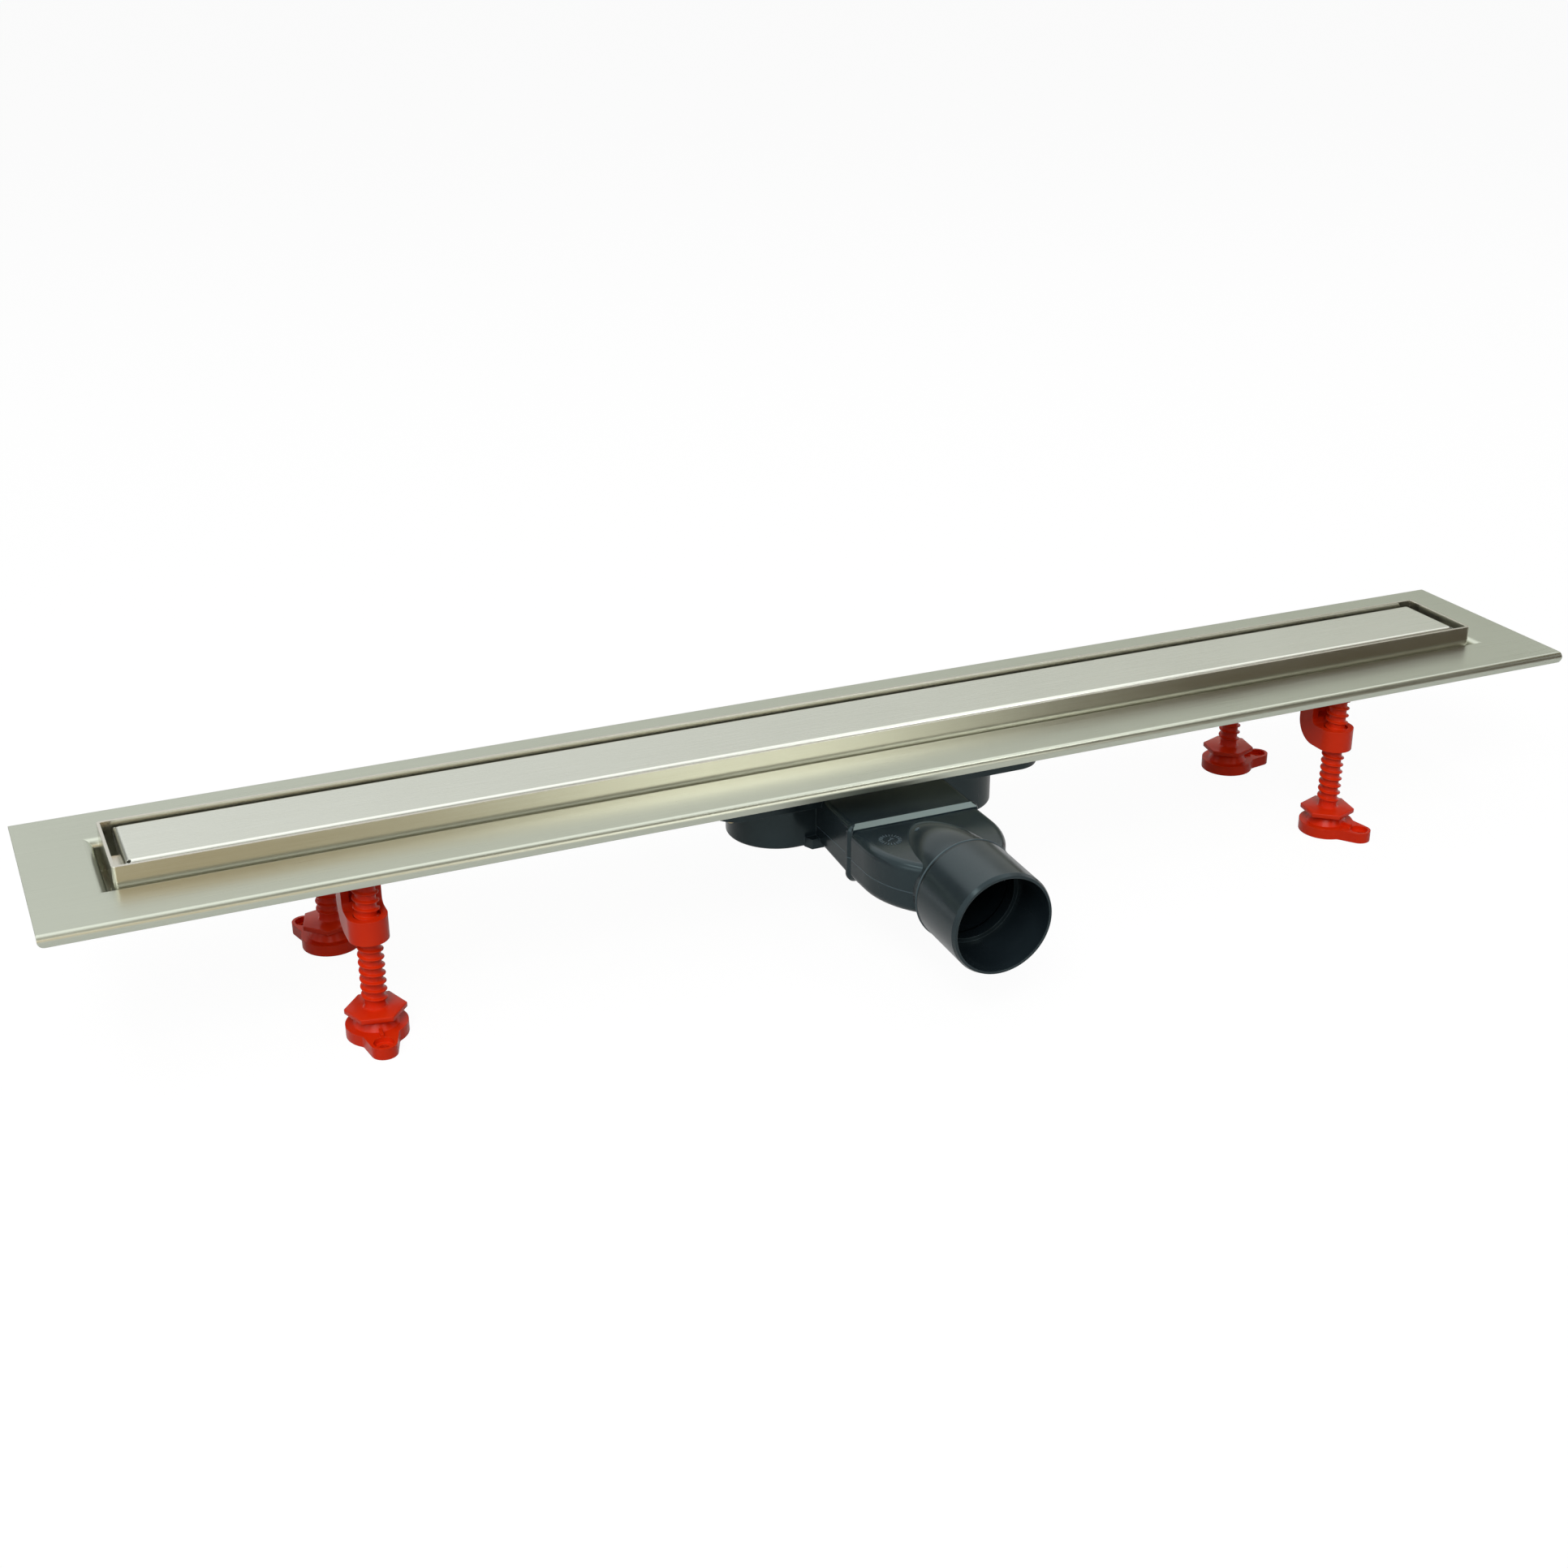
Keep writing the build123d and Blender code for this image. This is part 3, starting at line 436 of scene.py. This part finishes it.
# The clamp screws: pan head with a cross recess, and a fine thread down to the tip, in millimetres

SCREW_PITCH, SCREW_LOW, SCREW_HIGH = 0.8, 56.2, 70.2
HEAD_RADIUS = 4.5
RECESS_LENGTH, RECESS_WIDTH, RECESS_HEIGHT, RECESS_MIDDLE, RECESS_EDGE = 4.6, 0.9, 3, 73.6, 0.15
SCREW_TURN = 25     # degrees from each screw to the next

screw_core = turned("screw_core", [
    (0, 55.5), (1.5, 55.5), (2.05, 56.1), (2.05, 70.4), (2.45, 71.0), (4.3, 71.0), (HEAD_RADIUS, 71.2),
    (HEAD_RADIUS, 71.8), (4.2, 72.7), (3.4, 73.5), (2.2, 73.9), (0, 74.0)], steps=40)
recess_middle = (0, 0, RECESS_MIDDLE)
recess = joined("cross_recess",
                bar("recess_a", (RECESS_LENGTH, RECESS_WIDTH, RECESS_HEIGHT), recess_middle, RECESS_EDGE),
                bar("recess_b", (RECESS_WIDTH, RECESS_LENGTH, RECESS_HEIGHT), recess_middle, RECESS_EDGE))
cut = screw_core.modifiers.new("recess", "BOOLEAN")
cut.operation = "DIFFERENCE"
cut.object = recess
cut.use_self = True
pick(screw_core)
bpy.ops.object.modifier_apply(modifier="recess")
bpy.data.objects.remove(recess)
screw_ridge = thread_ridge("screw_ridge", [
    (1.9, -0.38), (2.2, -0.2), (2.5, -0.05), (2.5, 0.05), (2.2, 0.2), (1.9, 0.38)],
    SCREW_PITCH, SCREW_LOW, SCREW_HIGH, hand=1)
model = joined("clamp_screw", screw_core, screw_ridge)
coat(model, screw_steel)
low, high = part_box("clamp_screws")
inward = HEAD_RADIUS * MM
left_x, right_x = low.x + inward, high.x - inward
front_y, back_y = low.y + inward, high.y - inward
spots = ((left_x, front_y), (right_x, front_y), (left_x, back_y), (right_x, back_y))
for number, (x, y) in enumerate(spots, start=1):
    piece = copy_to(model, f"clamp_screw_{number}", (x, y, 0), SCREW_TURN * number)
    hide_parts("clamp_screws")
    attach(piece, "channel")
bpy.data.objects.remove(model)


# The siphon's shell: the solid's own shape, with the collar's upper edge sloped off over its whole width.
# The slope is painted paler than the moulded faces: a painted highlight

SLOPE_POINT, SLOPE_NORMAL = (0, -22.08, 65.29), (0, -0.605, 0.796)
SHELL_SHARP_ANGLE = 25

shell = bpy.data.objects.new("siphon_shell", nodes["siphon_body"].data.copy())
bpy.context.scene.collection.objects.link(shell)
shell.data.name = "siphon_shell"
edit_all(shell)
bpy.ops.mesh.remove_doubles(threshold=WELD)
bpy.ops.mesh.bisect(plane_co=mm(*SLOPE_POINT), plane_no=SLOPE_NORMAL, use_fill=True, clear_outer=True)
# The slope gets the paler plastic, a painted highlight
bpy.ops.object.material_slot_add()
shell.material_slots[shell.active_material_index].material = highlit_slope_plastic
bpy.ops.object.material_slot_assign()
close_edit()
bpy.ops.mesh.customdata_custom_splitnormals_clear()
bpy.ops.object.shade_smooth_by_angle(angle=math.radians(SHELL_SHARP_ANGLE))
even = shell.modifiers.new("flat_faces_stay_flat", "WEIGHTED_NORMAL")
even.mode = "FACE_AREA"
even.keep_sharp = True
bpy.ops.object.modifier_apply(modifier="flat_faces_stay_flat")
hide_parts("siphon_body")
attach(shell, "channel")


# Marks that the mould leaves on the outlet adapter: a dial of plain ticks with an arrow, the nub of the gate,
# and the bead where the spigot's sleeve met the dome. All in millimetres. They are painted paler than the shell,
# a painted highlight

MARK_HEIGHT, MARK_MIDDLE, MARK_EDGE = 0.5, 0.05, 0.1
TICKS, TICK_LENGTH, TICK_WIDTH, TICK_OUT = 20, 1.9, 0.5, 4.5
HAND_LENGTH, HAND_WIDTH = 3.8, 0.55
BARB_LENGTH, BARB_WIDTH, BARB_SLANT, BARB_ALONG, BARB_ASIDE = 1.8, 0.5, 40, 1.2, 0.5
DIAL_PLACE, DIAL_TURN = (-21.1, -39.4, 63.5), 35
NUB_PLACE, NUB_AXIS = (-7.98, -40.64, 66.84), (-0.418, 0.288, 0.861)
BEAD_PLACE, BEAD_AXIS = (0, -73.45, 49.5), (0, -0.9994, -0.0349)


def mark_bar(name, length, width, out=0.0):
    return bar(name, (length, width, MARK_HEIGHT), (out, 0, MARK_MIDDLE), MARK_EDGE)


tick = mark_bar("dial_tick", TICK_LENGTH, TICK_WIDTH, TICK_OUT)
edit_all(tick)
bpy.ops.mesh.spin(steps=TICKS - 1, dupli=True, angle=2 * math.pi * (TICKS - 1) / TICKS, center=(0, 0, 0),
                  axis=(0, 0, 1))
close_edit()
hand = mark_bar("dial_hand", HAND_LENGTH, HAND_WIDTH)
for side in (-1, 1):
    barb = mark_bar(f"dial_barb_{side}", BARB_LENGTH, BARB_WIDTH)
    edit_all(barb)
    bpy.ops.transform.rotate(value=side * math.radians(BARB_SLANT), orient_axis="Z", center_override=(0, 0, 0))
    bpy.ops.transform.translate(value=mm(BARB_ALONG, -side * BARB_ASIDE, 0))
    close_edit()
    hand = joined("dial_hand", hand, barb)
dial = joined("mould_dial", tick, hand)
settle(dial, mm(*DIAL_PLACE), (0, 0, math.radians(DIAL_TURN)))

nub = turned("gate_nub", [(0, -0.8), (1.25, -0.8), (1.25, 0.15), (1.1, 0.4), (0.7, 0.55), (0, 0.6)], steps=24)
settle(nub, mm(*NUB_PLACE), facing(NUB_AXIS))
bead = turned("spigot_seam", [
    (24.6, -0.1), (25.1, -0.1), (25.35, 0.1), (25.4, 0.35), (25.2, 0.7), (24.6, 0.9), (24.6, -0.1)], steps=96)
settle(bead, mm(*BEAD_PLACE), facing(BEAD_AXIS))
# The marks take the paler plastic, a painted highlight
for mark in (dial, nub, bead):
    coat(mark, highlit_mark_plastic)
    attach(mark, "channel")


# Floor and surroundings

WHITE = "#FFFFFF"
FLOOR_SIZE = 40
LIGHT_OF_WORLD, WORLD_WHERE_SEEN = 0.13, 1.0


def white_where_seen(tree):
    """One where a camera, mirror or see-through ray looks, and nought for the light that falls on things."""
    path = add(tree, "ShaderNodeLightPath").outputs
    seen = calc(tree, "MAXIMUM", path["Is Camera Ray"], path["Is Glossy Ray"])
    return calc(tree, "MAXIMUM", seen, path["Is Transmission Ray"])


def glowing_paper(tree, colour, glow):
    """Paper that shows shadows on a glow that keeps it white."""
    paper = add(tree, "ShaderNodeBsdfDiffuse", Color=srgb(colour)).outputs[0]
    light = add(tree, "ShaderNodeEmission", Color=srgb(WHITE), Strength=glow).outputs[0]
    return add(tree, "ShaderNodeAddShader", i0=paper, i1=light).outputs[0]


start_clean()
bpy.ops.mesh.primitive_grid_add(x_subdivisions=2, y_subdivisions=2, size=FLOOR_SIZE)
floor = bpy.context.object
floor.name = "studio_floor"
paper, tree = new_material("white_paper_floor")
seen = white_where_seen(tree)
looked_at = add(tree, "ShaderNodeLightPath").outputs["Is Camera Ray"]
plain = add(tree, "ShaderNodeBsdfDiffuse", Color=srgb("#848482")).outputs[0]
direct = glowing_paper(tree, "#4D4D4D", 0.95)
mirrored = glowing_paper(tree, "#D2D2D2", 0.3)
white = add(tree, "ShaderNodeMixShader", i0=looked_at, i1=mirrored, i2=direct).outputs[0]
sheet = add(tree, "ShaderNodeMixShader", i0=seen, i1=plain, i2=white).outputs[0]
add(tree, "ShaderNodeOutputMaterial", Surface=sheet)
floor.data.materials.append(paper)

scene = bpy.context.scene
world = bpy.data.worlds.new("soft_studio")
scene.world = world
world.use_nodes = True
tree = world.node_tree
tree.nodes.clear()
level = ramp(tree, white_where_seen(tree), 0, 1, LIGHT_OF_WORLD, WORLD_WHERE_SEEN)
sky = add(tree, "ShaderNodeBackground", Color=srgb(WHITE), Strength=level)
add(tree, "ShaderNodeOutputWorld", Surface=sky.outputs[0])


# Lamps, and cards for the steel to mirror, in metres and watts

def softbox(name, place, target, size, power, colour=WHITE):
    data = bpy.data.lights.new(name, "AREA")
    data.shape = "RECTANGLE"
    data.size, data.size_y = size
    data.energy = power
    data.color = srgb(colour)[:3]
    lamp = bpy.data.objects.new(name, data)
    scene.collection.objects.link(lamp)
    lamp.location = place
    lamp.rotation_euler = facing(Vector(target) - Vector(place), "-Z")
    lamp.visible_camera = False


def reflector(name, place, direction, size, left, right):
    """A card that only mirrors see, in one tone or shaded from its left end to its right:
    it gives the bright steel something darker or warmer to show."""
    start_clean()
    bpy.ops.mesh.primitive_grid_add(x_subdivisions=2, y_subdivisions=2, size=1)
    card = bpy.context.object
    card.name = name
    card.scale = (size[0], size[1], 1)
    settle(card, place, facing(direction))
    card.visible_camera = False
    card.visible_diffuse = False
    card.visible_shadow = False
    cloth, tree = new_material(name)
    along = add(tree, "ShaderNodeTexCoord").outputs["Object"]
    along = add(tree, "ShaderNodeSeparateXYZ", Vector=along).outputs["X"]
    half = size[0] / 2
    share = ramp(tree, along, place[0] - half, place[0] + half, 0, 1)
    tone = blend(tree, share, srgb(left), srgb(right))
    lit = add(tree, "ShaderNodeEmission", Color=tone, Strength=1.0).outputs[0]
    add(tree, "ShaderNodeOutputMaterial", Surface=lit)
    card.data.materials.append(cloth)


softbox("top_softbox", (0.3, 0.82, 1.6), (0.3, 0.1, 0), (3.0, 1.5), 9)
softbox("top_softbox_core", (0.82, -0.36, 1.60), (0.03, -0.02, 0.06), (0.44, 0.32), 2.2)
softbox("key_softbox", (-1.25, -2.0, 2.4), (0, 0, 0.05), (1.8, 1.8), 58)
softbox("left_top_softbox", (-0.95, -0.20, 1.5), (0, -0.05, 0.06), (0.55, 0.32), 2.6)
softbox("front_softbox", (0.98, -2.5, 1.35), (0.4, 0, 0.4), (0.62, 1.4), 6.2, "#FFFBF2")
softbox("left_softbox", (-2.1, -0.7, 0.8), (0, 0, 0.05), (0.9, 1.1), 3.8)

reflector("tan_card", (-0.35, -2.6, 1.25), (0, 1, 0), (1.8, 1.5), "#FFD6A0", "#F0DABA")
reflector("brown_card", (2.75, -2.42, 1.15), (0, 1, 0), (2.6, 2.7), "#5A3C10", "#2E1E06")
reflector("ceiling_card", (0.45, -1.05, 1.8), (-0.1, 1.05, -1.75), (3.4, 1.35), "#8E8166", "#2E2618")
reflector("side_ceiling_card", (2.0, 0.0, 1.6), (-1.9, 0, -1.5), (1.3, 1.5), "#7A6A4C", "#4E3E20")
reflector("back_card", (1.1, 2.7, 1.25), (0, -1, 0), (4.4, 2.2), WHITE, "#BBBCB0")
reflector("back_left_card", (-1.6, 2.3, 0.85), (1.6, -2.3, 0), (2.0, 1.7), "#868782", "#868782")


# The photo's camera, as it was fitted

SENSOR_MM, LENS_MM = 36, 48.53
CAMERA_PLACE = (-0.41889, -0.82303, 0.48479)
CAMERA_RIGHT = Vector((0.91472, -0.40407, -0.00405))
CAMERA_UP = Vector((0.16848, 0.37227, 0.91271))

camera_data = bpy.data.cameras.new("photo_camera")
camera_data.sensor_width = SENSOR_MM
camera_data.lens = LENS_MM
camera_data.clip_start = 0.01
camera = bpy.data.objects.new("photo_camera", camera_data)
scene.collection.objects.link(camera)
camera_axes = (CAMERA_RIGHT, CAMERA_UP, CAMERA_RIGHT.cross(CAMERA_UP))
camera.matrix_world = Matrix.Translation(CAMERA_PLACE) @ Matrix(camera_axes).transposed().to_4x4()
scene.camera = camera
scene.view_settings.view_transform = "Standard"
